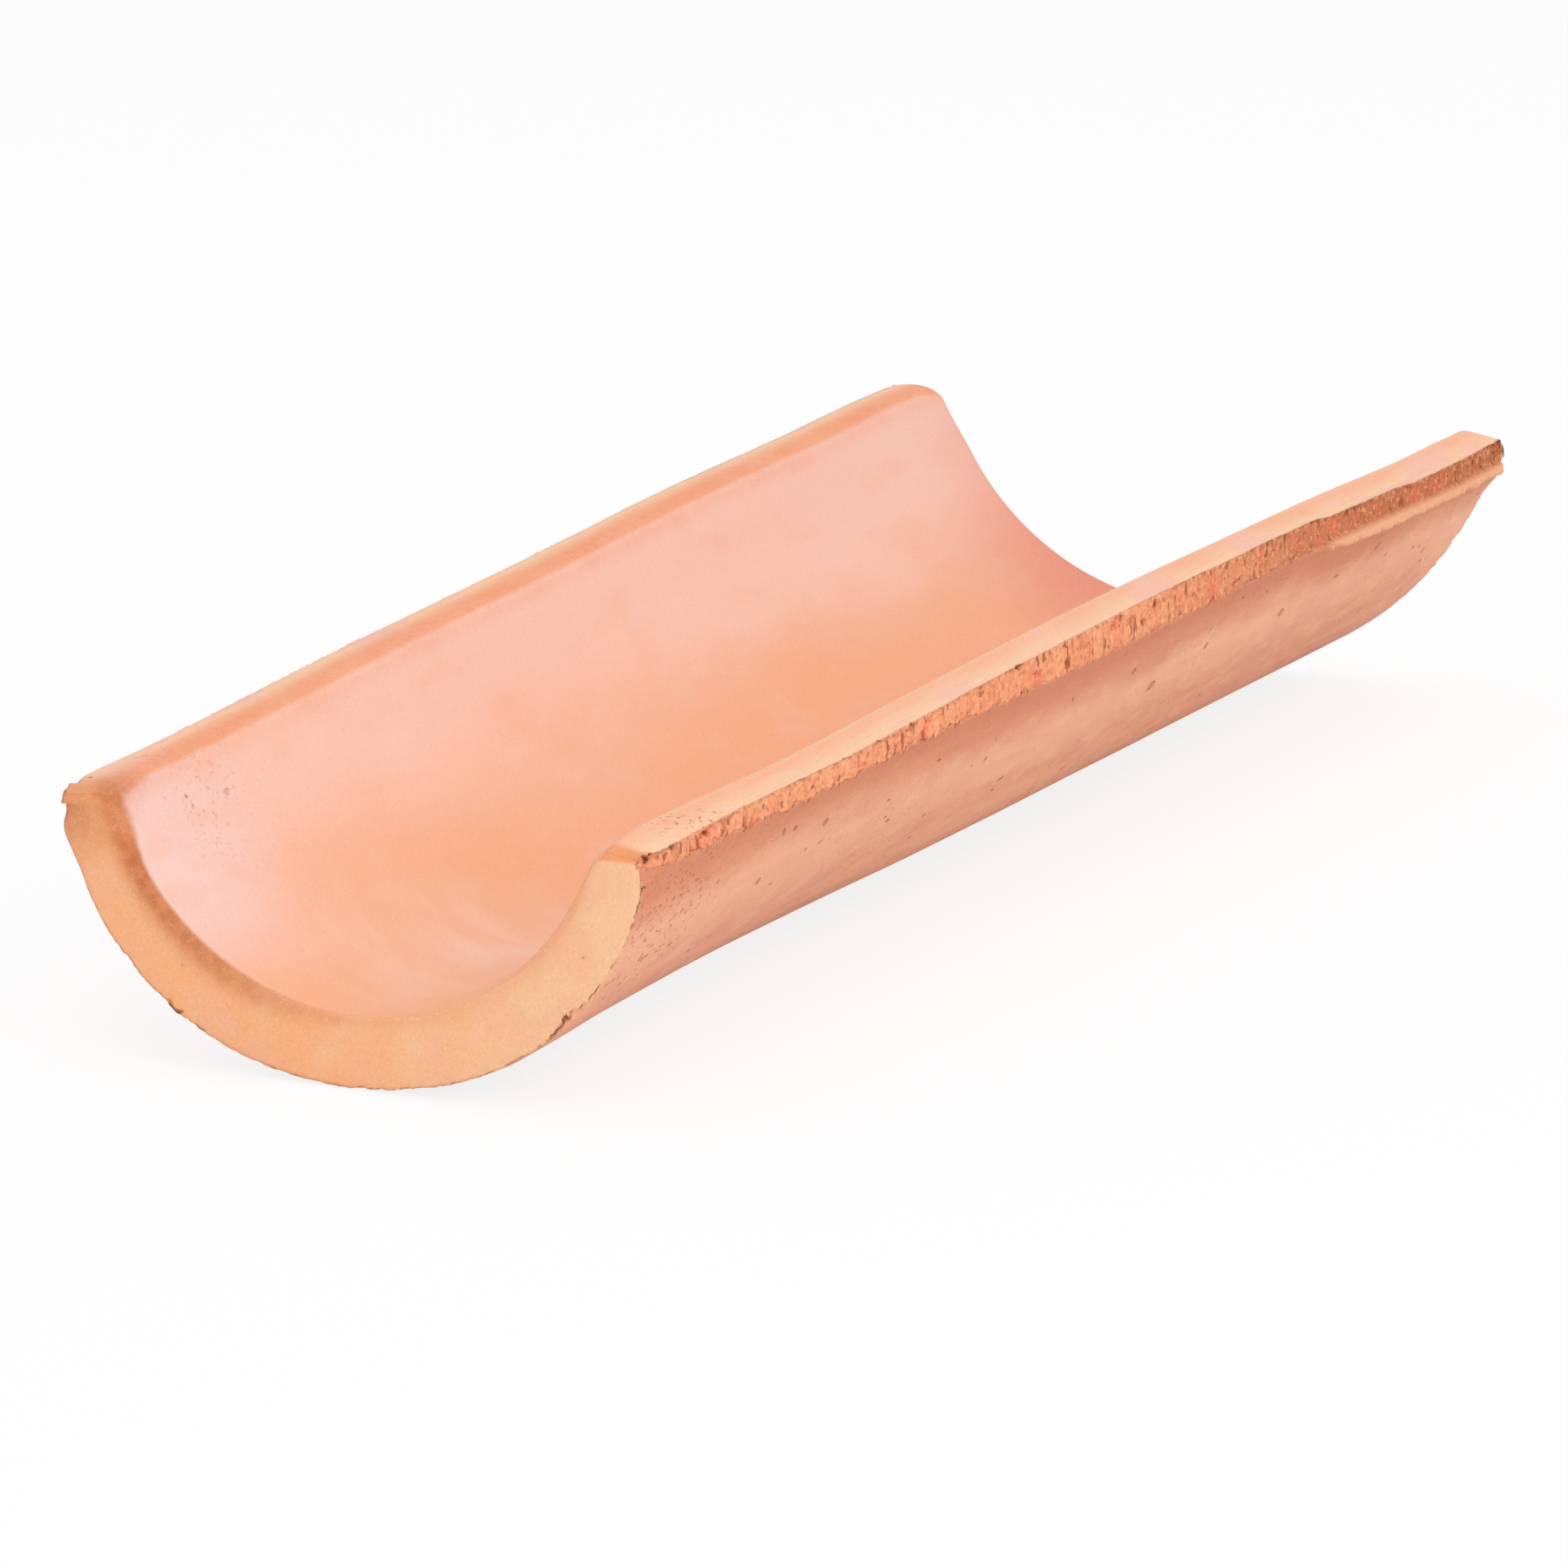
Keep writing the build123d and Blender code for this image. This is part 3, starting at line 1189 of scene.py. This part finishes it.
@dataclass(frozen=True)
class FiredClay:
    """Pale, unglazed fired clay: slipped and wiped inside, drier and more porous outside."""

    slip_pink: Colour = srgb(245, 201, 184)
    # pale slip patches, also the painted sheen on the near left wall
    slip_pale_and_sheen: Colour = srgb(243, 206, 198)
    slip_orange: Colour = srgb(244, 173, 131)
    # painted highlight: pale blush on the front of the floor
    slip_blush_and_highlight: Colour = srgb(246, 197, 172)
    # painted shade towards the far right end of the hollow
    slip_far_shade: Colour = srgb(231, 138, 114)
    body_tan: Colour = srgb(238, 172, 136)
    body_brown: Colour = srgb(222, 148, 114)
    body_rose: Colour = srgb(224, 156, 134)
    # painted shade near the floor
    body_low_shade: Colour = srgb(200, 148, 126)
    # pale streaks and patches of the outside, also the painted highlight band below each lip
    body_pale_and_highlight: Colour = srgb(246, 188, 154)
    # painted shade: the colour of the shadow in the hollow under each lip
    under_lip: Colour = srgb(206, 122, 86)
    face_peach: Colour = srgb(248, 178, 128)
    face_pale: Colour = srgb(247, 194, 150)
    face_rose: Colour = srgb(246, 182, 148)
    rim_peach: Colour = srgb(247, 181, 145)
    # cream of the rim's outer arris, also the painted highlight along the right rim's inner edge
    rim_cream_and_highlight: Colour = srgb(248, 202, 165)
    rim_rose: Colour = srgb(246, 188, 172)
    rim_orange: Colour = srgb(239, 150, 105)
    bare_orange: Colour = srgb(240, 160, 108)
    bare_dark: Colour = srgb(198, 110, 58)
    facet_orange: Colour = srgb(238, 154, 102)
    torn_pale: Colour = srgb(250, 188, 142)
    torn_light: Colour = srgb(248, 166, 117)
    torn_mid: Colour = srgb(242, 146, 102)
    torn_red: Colour = srgb(238, 112, 80)
    torn_deep: Colour = srgb(196, 108, 60)
    torn_shade: Colour = srgb(172, 90, 48)
    torn_brown: Colour = srgb(158, 78, 36)
    torn_dark: Colour = srgb(132, 62, 26)
    pore_dark: Colour = srgb(168, 98, 64)
    stains: tuple[tuple[float, float, float, float], ...] = (
        (59.6, -49.0, 35.4, 2.0),
        (63.7, 15.0, 40.8, 1.8),
        (60.3, 31.0, 34.4, 2.8),
        (60.2, -98.0, 38.5, 1.7),
        (63.3, 54.0, 38.4, 1.8),
        (63.9, 94.0, 38.0, 2.2),
        (59.3, -121.0, 38.6, 2.4),
        (55.1, -142.0, 31.4, 2.2),
        (52.4, -187.0, 27.8, 1.7),
        (-48.2, -176.0, 45.4, 0.8),
    )
    smooth_roughness: float = 0.66
    dry_roughness: float = 0.85

    def outside_colour(self, bench: Bench) -> bpy.types.NodeSocket:
        """Dry clay with long, faint bands; painted shade in the hollow under each lip with a painted
        highlight band below it, and painted shade towards the floor.
        """
        band = bench.mottle((60, 5, 60), 3.0).ramp(0.38, 0.64)
        streak = bench.mottle((420, 26, 420), 3.0, (0, 2, 7)).ramp(0.40, 0.62)
        cloud = bench.mottle((60, 34, 60), 4.0, (3, 1, 0)).ramp(0.40, 0.62)
        rub = bench.mottle((260, 120, 260), 3.0, (5, 5, 1))
        colour = bench.blend(band * 0.5, self.body_tan, self.body_brown)
        colour = bench.blend(streak * 0.3, colour, self.body_pale_and_highlight)
        colour = bench.blend(cloud * 0.55, colour, self.body_rose)
        colour = bench.blend(rub.ramp(0.54, 0.68) * 0.45, colour, self.body_pale_and_highlight)
        colour = bench.blend(rub.ramp(0.46, 0.32) * 0.45, colour, self.body_brown)
        uneven = (bench.mottle((40, 14, 40), 2.0, (0, 6, 1)) - 0.5) * 0.012
        below_lip = bench.axis(1) * 0.01978 + 0.05051 - bench.axis(2) + uneven
        # painted highlight: a lighter band about 8 to 28 mm below each lip
        light = below_lip.ramp(0.008, 0.014) * below_lip.ramp(0.028, 0.016)
        colour = bench.blend(light * 0.45, colour, self.body_pale_and_highlight)
        # painted shade: darker and greyer towards the floor, below 20 mm
        colour = bench.blend(bench.axis(2).ramp(0.020, 0.002) * 0.6, colour, self.body_low_shade)
        # painted shade under each lip, darkest just below it
        colour = bench.blend(below_lip.ramp(0.013, 0.002) * 0.75, colour, self.under_lip)
        return bench.blend(bench.zone(Zone.LIP) * 0.7, colour, self.torn_pale)

    def inside_colour(self, bench: Bench) -> bpy.types.NodeSocket:
        """Slip that is pink up the walls and orange along the floor, with a painted sheen on the near
        left wall, a painted highlight at the front of the floor and painted shade towards the far right
        end.
        """
        patch = bench.mottle((16, 9, 16), 3.0, (0, 2, 5)) - 0.5
        tan = bench.near((0.056, -0.200, 0.040), 0.050)
        wall = (bench.axis(2) + patch * 0.030).ramp(0.018, 0.046) * (1 - tan)
        colour = bench.blend(wall, self.slip_orange, self.slip_pink)
        wiped = bench.mottle((30, 130, 30), 2.0, (4, 0, 2), 0.55).ramp(0.40, 0.64)
        # painted highlight on the front of the floor, broken up by wipe marks
        front_highlight = bench.near((0.000, -0.150, 0.014), 0.055)
        colour = bench.blend(front_highlight * (0.45 + wiped * 0.45), colour, self.slip_blush_and_highlight)
        # painted sheen: a pale pearly patch on the near left wall
        sheen_spot = bench.near((-0.046, -0.188, 0.034), 0.042)
        colour = bench.blend(sheen_spot, colour, self.slip_pale_and_sheen)
        rubbed = bench.mottle((110, 45, 110), 4.0, (7, 3, 2))
        colour = bench.blend(rubbed.ramp(0.50, 0.74) * 0.20, colour, self.slip_pale_and_sheen)
        colour = bench.blend(rubbed.ramp(0.48, 0.30) * 0.22, colour, self.slip_orange)
        # painted shade: a deeper salmon towards the far end, most at the right
        right = bench.maths("MINIMUM", bench.axis(0), 0.030)
        far = (bench.axis(1) + right * 0.9 + patch * 0.08).ramp(0.105, 0.195)
        return bench.blend(far * 0.9, colour, self.slip_far_shade)

    def rim_colour(self, bench: Bench) -> bpy.types.NodeSocket:
        """The wiped rim: warm at the hollow, cream at its outer arris, with drawn-out patches."""
        outward = bench.zone(Zone.OUTER_RIM)
        patch = bench.mottle((90, 34, 90), 3.0, (2, 9, 4))
        streak = bench.mottle((900, 22, 900), 2.0, (3, 1, 8)).ramp(0.42, 0.62)
        cream = (outward + (patch - 0.5) * 0.9).ramp(0.25, 0.80)
        colour = bench.blend(cream, self.rim_peach, self.rim_cream_and_highlight)
        colour = bench.blend(patch.ramp(0.52, 0.62) * 0.70, colour, self.rim_rose)
        fibre = bench.mottle((1300, 60, 1300), 2.0, (6, 2, 2))
        colour = bench.blend(fibre.ramp(0.54, 0.70) * 0.35, colour, self.face_pale)
        colour = bench.blend(fibre.ramp(0.44, 0.30) * 0.16, colour, self.rim_orange)
        return bench.blend(streak * 0.25, colour, self.rim_peach)

    def face_colour(self, bench: Bench) -> bpy.types.NodeSocket:
        """The cut ends: peach at the left and the foot, paler up the right."""
        soft = bench.mottle((120, 70, 120), 3.0)
        paler = (bench.axis(0) + (soft - 0.5) * 0.07).ramp(-0.02, 0.05)
        colour = bench.blend(paler, self.face_peach, self.face_pale)
        blush = bench.mottle((75, 60, 75), 2.0, (1, 5, 9)).ramp(0.48, 0.62)
        colour = bench.blend(blush * 0.45, colour, self.face_rose)
        return bench.blend(soft.ramp(0.56, 0.70) * 0.3, colour, self.face_pale)

    def bare_colour(self, bench: Bench, colour: bpy.types.NodeSocket) -> bpy.types.NodeSocket:
        """Colour with the rounded inner edges rubbed down to darker clay, and a painted highlight along
        the right rim's inner edge.

        Args:
            bench: Where the nodes are made.
            colour: The colour so far.

        Returns:
            The colour's socket.
        """
        uneven = bench.mottle((70, 50, 70), 3.0, (6, 1, 3)).ramp(0.30, 0.62)
        left = bench.axis(0).ramp(0.030, -0.030)
        at_end = bench.axis(1).ramp(-0.180, -0.197)
        bare = bench.blend(at_end, self.rim_orange, self.bare_dark)
        share = left * (0.85 + at_end * 0.12) * (0.70 + uneven * 0.30)
        low = at_end * bench.axis(2).ramp(0.032, 0.006) * 0.5
        grit = bench.mottle((420, 420, 420), 3.0, (4, 4, 9)).ramp(0.36, 0.62) * 0.22
        share = share * (1 - low) * (1 - grit)
        colour = bench.blend(bench.zone(Zone.WORN_AND_HIGHLIGHT) * share, colour, bare)
        smudge = bench.near((-0.0585, -0.2, 0.0480), 0.015) * left
        colour = bench.blend(smudge * (1 - grit) * 0.65, colour, self.bare_dark)
        right = bench.zone(Zone.WORN_AND_HIGHLIGHT) * (1 - left)
        colour = bench.blend(right * at_end * 0.35, colour, self.bare_orange)
        # painted highlight: a thin cream line along the rounded inner edge of the right rim
        colour = bench.blend(right * (1 - at_end) * 0.6, colour, self.rim_cream_and_highlight)
        facet = bench.zone(Zone.FACET) * (0.95 - left * 0.45)
        return bench.blend(facet, colour, self.facet_orange)

    def torn_colour(self, bench: Bench, strokes: Signal) -> bpy.types.NodeSocket:
        """Torn clay: warm clods, a few red ones, pale crumbs and brown strokes.

        Args:
            bench: Where the nodes are made.
            strokes: 1 in a stroke that a stone in the clay has dragged.

        Returns:
            The colour's socket.
        """
        cells = bench.node("TexVoronoi", {}, {"Vector": self.blocks(bench), "Scale": 1.0})
        parts = bench.node("SeparateColor", {}, {0: cells.outputs["Color"]}).outputs
        grain = bench.mottle((900, 900, 900), 2.0, (2, 2, 2))
        far = bench.axis(1).ramp(0.0, 0.13)
        colour = bench.blend(Signal(bench, parts[0]), self.torn_mid, self.torn_light)
        colour = bench.blend(far * 0.90, colour, self.torn_deep)
        red = Signal(bench, parts[1]).ramp(0.78, 0.95)
        colour = bench.blend(red * 0.6, colour, self.torn_red)
        colour = bench.blend(grain.ramp(0.53, 0.68) * 0.55, colour, self.torn_pale)
        colour = bench.blend(grain.ramp(0.44, 0.34) * 0.45, colour, self.torn_shade)
        return bench.blend(strokes * 0.80, colour, self.torn_brown)

    def blocks(self, bench: Bench) -> bpy.types.NodeSocket:
        """Coordinates whose cells are the upright clods that the trimming wire left."""
        scale = (110, 250, 130)
        wobble = bench.node(
            "TexNoise", {}, {"Vector": bench.stretched(scale), "Scale": 3.0, "Detail": 3.0}
        )
        shaken = bench.node(
            "VectorMath", {"operation": "ADD"}, {0: bench.stretched(scale), 1: wobble.outputs["Color"]}
        )
        return shaken.outputs[0]

    def strokes(self, bench: Bench) -> Signal:
        """Short upright strokes in the torn faces, in groups, 1 in a stroke."""
        line = bench.mottle((40, 620, 200), 1.0, (5, 2, 1)).ramp(0.62, 0.70)
        crowd = bench.mottle((90, 90, 90), 2.0, (8, 0, 4)).ramp(0.43, 0.56)
        return line * crowd * bench.zone(Zone.TRIM)

    def edge_colour(self, bench: Bench, colour: bpy.types.NodeSocket) -> bpy.types.NodeSocket:
        """Colour with the crumbled outer edges, partly a painted highlight along the arris, and the
        pits and scars darkened, partly as painted shade where the torn marks are deeper.

        Args:
            bench: Where the nodes are made.
            colour: The colour so far.

        Returns:
            The colour's socket.
        """
        arris = bench.zone(Zone.ARRIS)
        crumb = bench.mottle((500, 500, 500), 3.0, (1, 8, 3))
        # pale crumbs along the arris, partly a painted highlight on the edge
        pale = arris.ramp(0.15, 0.8) * crumb.ramp(0.48, 0.38)
        shaded = arris.ramp(0.25, 0.9) * crumb.ramp(0.52, 0.62)
        pit = bench.zone(Zone.PIT)
        colour = bench.blend(pale * 0.5, colour, self.torn_pale)
        colour = bench.blend(shaded * 0.6, colour, self.torn_shade)
        # painted shade in the deeper torn marks, and the scars' own dark
        colour = bench.blend(pit.ramp(0.34, 0.70) * 0.5, colour, self.torn_shade)
        return bench.blend(pit.ramp(0.55, 0.90) * 0.85, colour, self.torn_dark)

    def colour(self, bench: Bench, holes: Signal, strokes: Signal) -> bpy.types.NodeSocket:
        """The clay's colour everywhere.

        Args:
            bench: Where the nodes are made.
            holes: 1 in a pore.
            strokes: 1 in a stroke of a torn face.

        Returns:
            The colour's socket.
        """
        fleck = bench.mottle((2200, 2200, 2200), 2.0)
        colour = bench.blend(bench.zone(Zone.RIM), self.outside_colour(bench), self.rim_colour(bench))
        colour = bench.blend(bench.zone(Zone.END), colour, self.face_colour(bench))
        wander = (bench.mottle((55, 40, 55), 3.0, (6, 6, 0)) - 0.5) * 0.6
        slipped = (bench.zone(Zone.INSIDE) + wander).ramp(0.25, 0.75)
        colour = bench.blend(slipped, colour, self.inside_colour(bench))
        colour = self.bare_colour(bench, colour)
        colour = bench.blend(bench.zone(Zone.TRIM), colour, self.torn_colour(bench, strokes))
        colour = self.edge_colour(bench, colour)
        colour = bench.blend(holes * 0.75, colour, self.pore_dark)
        light = bench.blend(fleck.ramp(0.52, 0.75) * 0.14, colour, (1.0, 0.9, 0.82))
        return bench.blend(fleck.ramp(0.48, 0.25) * 0.22, light, self.body_brown)

    def spots(self, bench: Bench) -> Signal:
        """The single pits and stains that stand out, with ragged outlines, 1 in a spot."""
        found: Number = 0.0
        for *place, reach in self.stains:
            spot = bench.near([value * MM for value in place], reach * MM)
            found = bench.maths("MAXIMUM", spot, found)
        ragged = (bench.mottle((700, 500, 700), 2.0, (7, 7, 7)) - 0.5) * 0.7
        return (found + ragged).ramp(0.40, 0.62)

    def holes(self, bench: Bench) -> Signal:
        """Pores: fine ones in clusters, larger ones here and there, few on wiped clay."""
        smooth = bench.maths("MAXIMUM", bench.zone(Zone.RIM), bench.zone(Zone.END)) * 0.88
        rim_specks = bench.near((0.0585, -0.178, 0.0510), 0.017)
        wall_specks = bench.near((-0.0480, -0.170, 0.0440), 0.032) * 0.50
        speckled = bench.maths("MAXIMUM", rim_specks, wall_specks)
        dry = 1 - bench.maths("MAXIMUM", bench.zone(Zone.INSIDE) * 0.92, smooth) * (1 - speckled)
        cluster = bench.mottle((45, 30, 45), 1.0, (9, 2, 6)).ramp(0.46, 0.64)
        crowd = bench.near((0.056, -0.183, 0.032), 0.028)
        crowded = bench.maths("MAXIMUM", crowd, speckled)
        fine = bench.pores(1000, 0.64) * bench.maths("MAXIMUM", cluster * 0.18, crowded * 0.9)
        wide = bench.pores(430, 0.745, (1, 4, 2))
        torn = bench.pores(480, 0.70, (3, 3, 7)) * bench.zone(Zone.TRIM)
        found = bench.maths("MAXIMUM", bench.maths("MAXIMUM", fine, wide) * dry, torn)
        return bench.maths("MAXIMUM", found, self.spots(bench) * 0.8)

    def material(self) -> bpy.types.Material:
        """Make the material.

        Returns:
            The fired clay.
        """
        clay = bpy.data.materials.new("fired_clay")
        clay.use_nodes = True
        bench = Bench(clay.node_tree)
        inside = bench.zone(Zone.INSIDE)
        holes = self.holes(bench)
        strokes = self.strokes(bench)
        grain = bench.mottle((1500, 1500, 1500), 3.0)
        crumb = bench.mottle((900, 900, 700), 4.0, (1, 1, 1)) * bench.zone(Zone.TRIM)
        smooth = bench.maths("MAXIMUM", inside, bench.zone(Zone.END) * 0.8)
        height = grain * (0.18 - smooth * 0.12) + crumb * 0.6 - holes * 0.4 - strokes * 0.5
        bump = bench.node("Bump", {}, {"Strength": 1.0, "Distance": MM, "Height": height})
        rough = self.dry_roughness - inside * (self.dry_roughness - self.smooth_roughness)
        rough = rough + (grain - 0.5) * 0.2
        shader = bench.node(
            "BsdfPrincipled",
            {},
            {
                "Base Color": self.colour(bench, holes, strokes),
                "Roughness": rough,
                "Normal": bump.outputs[0],
                "IOR": 1.45,
            },
        )
        bench.node("OutputMaterial", {}, {0: shader.outputs[0]})
        return clay


@dataclass(frozen=True)
class Lamp:
    """A square softbox.

    Attributes:
        name: What it does.
        place: Where it stands.
        size: Length of its side.
        power: Watts.
    """

    name: str
    place: tuple[float, float, float]
    size: float
    power: float

    def hang(self) -> None:
        """Put the lamp up, turned to the tile."""
        data = bpy.data.lights.new(self.name, "AREA")
        data.size = self.size
        data.energy = self.power
        lamp = bpy.data.objects.new(self.name, data)
        lamp.location = self.place
        lamp.rotation_euler = (-Vector(self.place)).to_track_quat("-Z", "Y").to_euler()
        bpy.context.scene.collection.objects.link(lamp)


@dataclass(frozen=True)
class Studio:
    """A white room: pale floor, even light from all round and two softboxes."""

    floor_half: float = 8.0
    floor_colour: Colour = (0.96, 0.96, 0.96)
    floor_glow: float = 0.84
    daylight: float = 0.80
    lamps: tuple[Lamp, ...] = (
        Lamp("key_softbox", (1.1, -0.75, 0.75), 1.1, 6.0),
        Lamp("top_softbox", (-0.1, 0.1, 1.5), 1.2, 2.5),
    )

    def seen(self, bench: Bench) -> Signal:
        """1 for rays that look at the room: straight, mirrored or through glass."""
        path = bench.node("LightPath").outputs
        rays = [Signal(bench, path[f"Is {kind} Ray"]) for kind in ("Camera", "Glossy", "Transmission")]
        return bench.maths("MINIMUM", rays[0] + rays[1] + rays[2], 1.0)

    def lay_floor(self) -> bpy.types.Object:
        """Lay the floor, white to look at, with the tile's shadow kept.

        Returns:
            The floor.
        """
        sheet = bmesh.new()
        bmesh.ops.create_grid(sheet, x_segments=1, y_segments=1, size=self.floor_half)
        mesh = bpy.data.meshes.new("studio_floor")
        sheet.to_mesh(mesh)
        sheet.free()
        floor = bpy.data.objects.new("studio_floor", mesh)
        floor.location.z = -0.05 * MM
        bpy.context.scene.collection.objects.link(floor)
        paint = bpy.data.materials.new("studio_white")
        paint.use_nodes = True
        bench = Bench(paint.node_tree)
        matt = bench.node("BsdfDiffuse", {}, {0: (*self.floor_colour, 1.0)})
        glow = bench.node("Emission", {}, {0: (1.0, 1.0, 1.0, 1.0), 1: 1.0})
        share = self.seen(bench) * self.floor_glow
        mixed = bench.node("MixShader", {}, {0: share, 1: matt.outputs[0], 2: glow.outputs[0]})
        bench.node("OutputMaterial", {}, {0: mixed.outputs[0]})
        mesh.materials.append(paint)
        return floor

    def light(self) -> None:
        """Light the room evenly and hang the softboxes."""
        world = bpy.data.worlds.new("studio_air")
        world.use_nodes = True
        bpy.context.scene.world = world
        bench = Bench(world.node_tree)
        strength = self.daylight + self.seen(bench) * (1 - self.daylight)
        air = bench.node("Background", {}, {0: (1.0, 1.0, 1.0, 1.0), 1: strength})
        bench.node("OutputWorld", {}, {0: air.outputs[0]})
        for lamp in self.lamps:
            lamp.hang()

    def set_up(self) -> None:
        """Lay the floor, light it and pick the plain view."""
        self.lay_floor()
        self.light()
        bpy.context.scene.view_settings.view_transform = "Standard"
        LOG.info("studio: %d lamps", len(self.lamps))


@dataclass(frozen=True)
class Viewpoint:
    """The camera at the photograph's angle: a long lens, a little to the right and above.

    Attributes:
        place: Where the camera stands.
        right: Direction of the picture's right.
        down: Direction of the picture's foot.
        focal_share: Focal length as a share of the picture's width.
    """

    place: tuple[float, float, float] = (0.625964, -1.300470, 0.356459)
    right: tuple[float, float, float] = (0.899309, 0.437250, -0.007515)
    down: tuple[float, float, float] = (0.094250, -0.210571, -0.973025)
    focal_share: float = 8209.2 / 1800
    sensor: float = 36.0

    def set_up(self) -> None:
        """Make the camera and look through it."""
        data = bpy.data.cameras.new("camera")
        data.sensor_width = self.sensor
        data.lens = self.sensor * self.focal_share
        data.clip_start, data.clip_end = 0.05, 50.0
        camera = bpy.data.objects.new("camera", data)
        right, up = Vector(self.right), -Vector(self.down)
        turn = Matrix((right, up, right.cross(up))).transposed()
        camera.matrix_world = Matrix.Translation(self.place) @ turn.to_4x4()
        bpy.context.scene.collection.objects.link(camera)
        bpy.context.scene.camera = camera
        LOG.info("camera: %.0f mm lens", data.lens)


def main() -> None:
    """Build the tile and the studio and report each."""
    logging.basicConfig(level=logging.INFO, format="%(name)s: %(message)s")
    Viewpoint().set_up()
    Studio().set_up()
    RoofTile().place(FiredClay())


if __name__ == "__main__":
    main()
